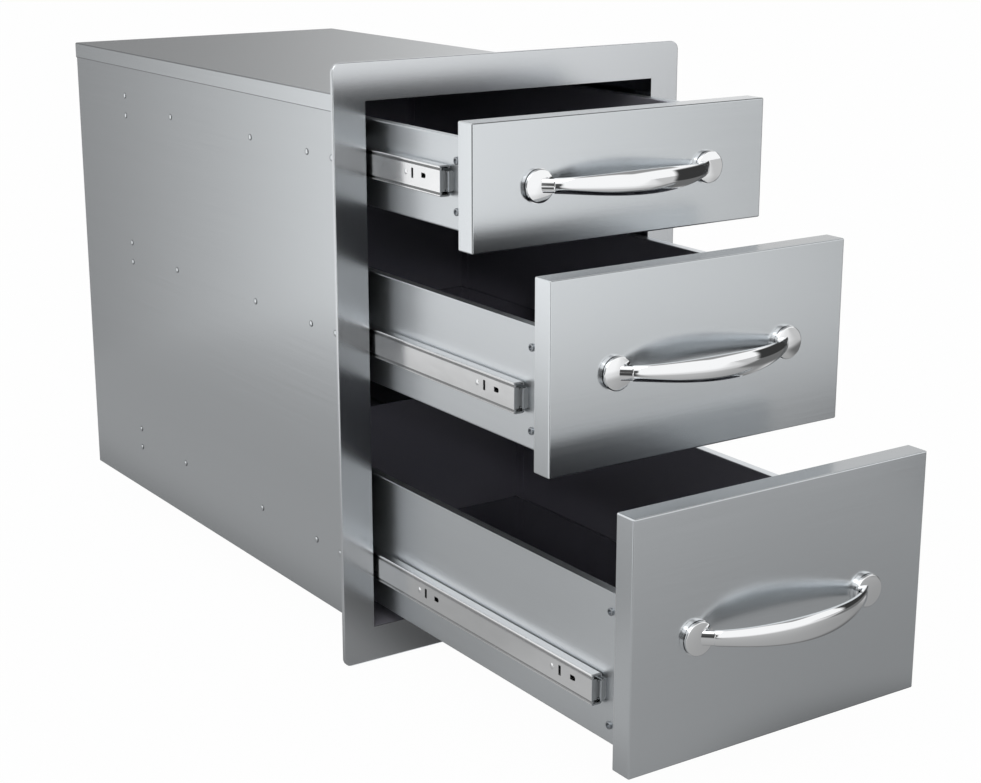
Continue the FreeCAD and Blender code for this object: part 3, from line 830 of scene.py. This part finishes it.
def make_world():
    """A white room, a little dimmer as light than it looks."""
    world = bpy.data.worlds.new("white_studio")
    bpy.context.scene.world = world
    world.use_nodes = True
    tree = world.node_tree
    tree.nodes.clear()
    strength = add_node(tree, "ShaderNodeMix", {}, {0: seen_directly(tree), 2: 0.7, 3: 1.0}).outputs[0]
    white = {"Color": linear("#ffffff"), "Strength": strength}
    background = add_node(tree, "ShaderNodeBackground", {}, white)
    add_node(tree, "ShaderNodeOutputWorld", {}, {"Surface": background.outputs[0]})


def make_floor():
    """A pale floor, nearly all white to the camera, so that only a very faint shadow stays on it."""
    floor = make_round("floor", 9, CAD_BOX[0].z)
    material, tree = empty_material("pale_floor")
    plain = add_node(
        tree, "ShaderNodeBsdfDiffuse", {}, {"Color": bpy.context.scene.drawer_unit_stage.floor[:]}
    )
    white = add_node(tree, "ShaderNodeEmission", {}, {"Color": linear("#ffffff"), "Strength": 1.0})
    share = add_node(tree, "ShaderNodeMath", {"operation": "MULTIPLY"}, {0: seen_directly(tree), 1: 0.98})
    shader = add_node(
        tree,
        "ShaderNodeMixShader",
        {},
        {0: share.outputs[0], 1: plain.outputs[0], 2: white.outputs[0]},
    )
    add_node(tree, "ShaderNodeOutputMaterial", {}, {"Surface": shader.outputs[0]})
    floor.data.materials.append(material)


def make_round(name, radius, level):
    """A flat round sheet at a level."""
    return add_piece(
        bpy.ops.mesh.primitive_circle_add,
        name,
        vertices=96,
        radius=radius,
        fill_type="NGON",
        location=(0, 0, level),
    )


def ramp(tree, source, stops):
    """A number that follows the source through the stops, which are (place, value) pairs."""
    span = stops[-1][0] - stops[0][0]
    place = add_node(
        tree, "ShaderNodeMapRange", {}, {"Value": source, "From Min": stops[0][0], "From Max": stops[-1][0]}
    )
    node = add_node(tree, "ShaderNodeValToRGB", {}, {"Fac": place.outputs[0]})
    node.color_ramp.interpolation = "EASE"
    for _ in stops[2:]:
        node.color_ramp.elements.new(0.5)
    for element, (at, value) in zip(node.color_ramp.elements, stops):
        element.position = (at - stops[0][0]) / span
        element.color = (value, value, value, 1)
    return node.outputs["Color"]


def edge_fade(tree, fade):
    """1 in the middle of a card and 0 at its edges: fade is the width of the soft edge along u and v."""
    place = add_node(tree, "ShaderNodeTexCoord")
    axes = add_node(tree, "ShaderNodeSeparateXYZ", {}, {0: place.outputs["UV"]})
    mask = None
    for axis, width in zip("XY", fade):
        inward = add_node(tree, "ShaderNodeMath", {"operation": "PINGPONG"}, {0: axes.outputs[axis], 1: 0.5})
        soft = add_node(
            tree,
            "ShaderNodeMapRange",
            {"interpolation_type": "SMOOTHSTEP"},
            {"Value": inward.outputs[0], "From Max": width},
        ).outputs[0]
        if mask is not None:
            soft = add_node(tree, "ShaderNodeMath", {"operation": "MULTIPLY"}, {0: mask, 1: soft}).outputs[0]
        mask = soft
    return mask


def place_card(card, tree, material, strength, mask=1.0):
    """A studio card that only the metal sees, as bright as the strength where the mask is 1."""
    glow = add_node(tree, "ShaderNodeEmission", {}, {"Strength": strength})
    clear = add_node(tree, "ShaderNodeBsdfTransparent")
    shader = add_node(tree, "ShaderNodeMixShader", {}, {0: mask, 1: clear.outputs[0], 2: glow.outputs[0]})
    add_node(tree, "ShaderNodeOutputMaterial", {}, {"Surface": shader.outputs[0]})
    card.data.materials.append(material)
    card.visible_camera = False
    card.visible_diffuse = False
    card.visible_shadow = False
    card.visible_transmission = False


def make_floor_card():
    """The floor as the metal sees it: a dark shade round the unit, which fades to white further off.

    Ahead of the unit it is greyer to the right and has a dark lane out to where the photographer
    stands. Beside and behind the unit its brightness goes by the place across the room, and is
    raised a little beside the drawers.
    """
    level = CAD_BOX[0].z + 1 * MM
    card = make_round("floor_card", 8, level)
    material, tree = empty_material("floor_card")
    place = add_node(tree, "ShaderNodeTexCoord").outputs["Object"]
    axes = add_node(tree, "ShaderNodeSeparateXYZ", {}, {0: place})
    middle = (0.1, -0.15, level)
    away = add_node(tree, "ShaderNodeVectorMath", {"operation": "DISTANCE"}, {0: place, 1: middle})
    stops = ((0, 0.1), (0.23, 0.2), (0.31, 0.4), (0.85, 0.48), (1.15, 0.78), (1.6, 0.98), (2.6, 1.0))
    ahead = ramp(tree, away.outputs["Value"], stops)
    rightward = (math.cos(math.radians(38)), math.sin(math.radians(38)), 0)
    across = add_node(tree, "ShaderNodeVectorMath", {"operation": "DOT_PRODUCT"}, {0: place, 1: rightward})
    sideways = ramp(tree, across.outputs["Value"], ((-0.5, 1.0), (-0.05, 0.8), (0.3, 0.56)))
    ahead = add_node(tree, "ShaderNodeMath", {"operation": "MULTIPLY"}, {0: ahead, 1: sideways}).outputs[0]
    across_lane = (0.82, -0.573, 0)
    off = add_node(tree, "ShaderNodeVectorMath", {"operation": "DOT_PRODUCT"}, {0: place, 1: across_lane})
    lane = ramp(tree, off.outputs["Value"], ((-0.5, 1.0), (-0.2, 0.06), (0.1, 0.06), (0.3, 1.0)))
    near = ramp(tree, axes.outputs["Y"], ((-0.9, 0.0), (-0.65, 1.0)))
    lane = add_node(tree, "ShaderNodeMix", {}, {0: near, 2: lane, 3: 1.0}).outputs[0]
    ahead = add_node(tree, "ShaderNodeMath", {"operation": "MULTIPLY"}, {0: ahead, 1: lane}).outputs[0]
    stops = ((-1.1, 1.1), (-0.88, 0.86), (-0.7, 0.57), (-0.58, 0.41), (-0.4, 0.37), (-0.25, 0.38))
    stops += ((-0.16, 0.24), (-0.08, 0.09), (0.2, 0.06), (0.6, 0.5), (1.2, 0.9))
    beside = ramp(tree, axes.outputs["X"], stops)
    brighter = ramp(tree, axes.outputs["Y"], ((-0.12, 1.25), (0.0, 1.0)))
    beside = add_node(tree, "ShaderNodeMath", {"operation": "MULTIPLY"}, {0: beside, 1: brighter}).outputs[0]
    behind = ramp(tree, axes.outputs["Y"], ((-0.45, 0), (-0.2, 1)))
    strength = add_node(tree, "ShaderNodeMix", {}, {0: behind, 2: ahead, 3: beside}).outputs[0]
    place_card(card, tree, material, strength)


def make_back_card():
    """A screen behind the unit, dark in its middle, which gives its side and lid their gradient."""
    middle, size, upright = (0, 1.15, 0.3), (3, 1, 2), (math.pi / 2, 0, 0)
    card = add_piece(bpy.ops.mesh.primitive_plane_add, "back_card", size=1, location=middle, rotation=upright)
    bpy.ops.object.mode_set(mode="EDIT")
    bpy.ops.mesh.select_all(action="SELECT")
    bpy.ops.transform.resize(value=size, center_override=middle)
    bpy.ops.object.mode_set(mode="OBJECT")
    material, tree = empty_material("back_card")
    place = add_node(tree, "ShaderNodeTexCoord")
    axes = add_node(tree, "ShaderNodeSeparateXYZ", {}, {0: place.outputs["Object"]})
    stops = ((-1.4, 1.2), (-1.05, 1.14), (-0.9, 0.96), (-0.73, 0.72), (-0.57, 0.5), (-0.43, 0.36))
    stops += ((-0.3, 0.28), (0.08, 0.28), (1.3, 0.98))
    place_card(card, tree, material, ramp(tree, axes.outputs["X"], stops), edge_fade(tree, (0.1, 0.2)))


def make_card(name, place, size, aim, strength, fade=0.15):
    """A soft-edged screen of one brightness, turned towards its aim."""
    turn = (Vector(aim) - Vector(place)).to_track_quat("Z", "Y").to_euler()
    card = add_piece(bpy.ops.mesh.primitive_plane_add, name, size=size, location=place, rotation=turn)
    material, tree = empty_material(name)
    place_card(card, tree, material, strength, edge_fade(tree, (fade, fade)))


def make_lamp(name, place, aim, size, power):
    """A large square lamp, seen in metal but not by the camera."""
    bpy.ops.object.select_all(action="DESELECT")
    bpy.ops.object.light_add(type="AREA", location=place)
    lamp = bpy.context.active_object
    lamp.name = name
    lamp.rotation_euler = (Vector(aim) - Vector(place)).to_track_quat("-Z", "Y").to_euler()
    lamp.data.size = size
    lamp.data.energy = power
    lamp.visible_camera = False


def make_camera():
    """The view of the photograph: from the front left and a little above."""
    place = (-0.9350, -1.3489, 0.6479)
    azimuth, elevation = math.radians(34.054), math.radians(15.576)
    bpy.ops.object.select_all(action="DESELECT")
    bpy.ops.object.camera_add(location=place, rotation=(math.pi / 2 - elevation, 0, -azimuth))
    camera = bpy.context.active_object
    camera.name = "photo_camera"
    camera.data.sensor_width = 36
    camera.data.lens = 70.31
    camera.data.clip_end = 60
    bpy.context.scene.camera = camera


class DRAWERUNIT_PT_sidebar(bpy.types.Panel):
    """Lists the unit's pieces in the order in which they are made"""

    bl_label = "Drawer Unit"
    bl_idname = "DRAWERUNIT_PT_sidebar"
    bl_space_type = "VIEW_3D"
    bl_region_type = "UI"
    bl_category = "Drawer Unit"

    def draw(self, context):
        for operator in OPERATORS:
            self.layout.operator(operator.bl_idname)


OPERATORS = (
    DRAWERUNIT_OT_stage,
    DRAWERUNIT_OT_casing,
    DRAWERUNIT_OT_boxes,
    DRAWERUNIT_OT_slides,
    DRAWERUNIT_OT_handles,
)
GROUPS = (UnitFinish, HandleSizes, FastenerSizes, StageSettings)
CLASSES = GROUPS + OPERATORS + (DRAWERUNIT_PT_sidebar,)


def register():
    for each in CLASSES:
        bpy.utils.register_class(each)
    bpy.types.Scene.drawer_unit_finish = bpy.props.PointerProperty(type=UnitFinish)
    bpy.types.Scene.drawer_unit_handle = bpy.props.PointerProperty(type=HandleSizes)
    bpy.types.Scene.drawer_unit_fasteners = bpy.props.PointerProperty(type=FastenerSizes)
    bpy.types.Scene.drawer_unit_stage = bpy.props.PointerProperty(type=StageSettings)


def unregister():
    del bpy.types.Scene.drawer_unit_stage
    del bpy.types.Scene.drawer_unit_fasteners
    del bpy.types.Scene.drawer_unit_handle
    del bpy.types.Scene.drawer_unit_finish
    for each in reversed(CLASSES):
        bpy.utils.unregister_class(each)


def main():
    register()
    for operator in OPERATORS:
        group, name = operator.bl_idname.split(".")
        getattr(getattr(bpy.ops, group), name)()


if __name__ == "__main__":
    main()
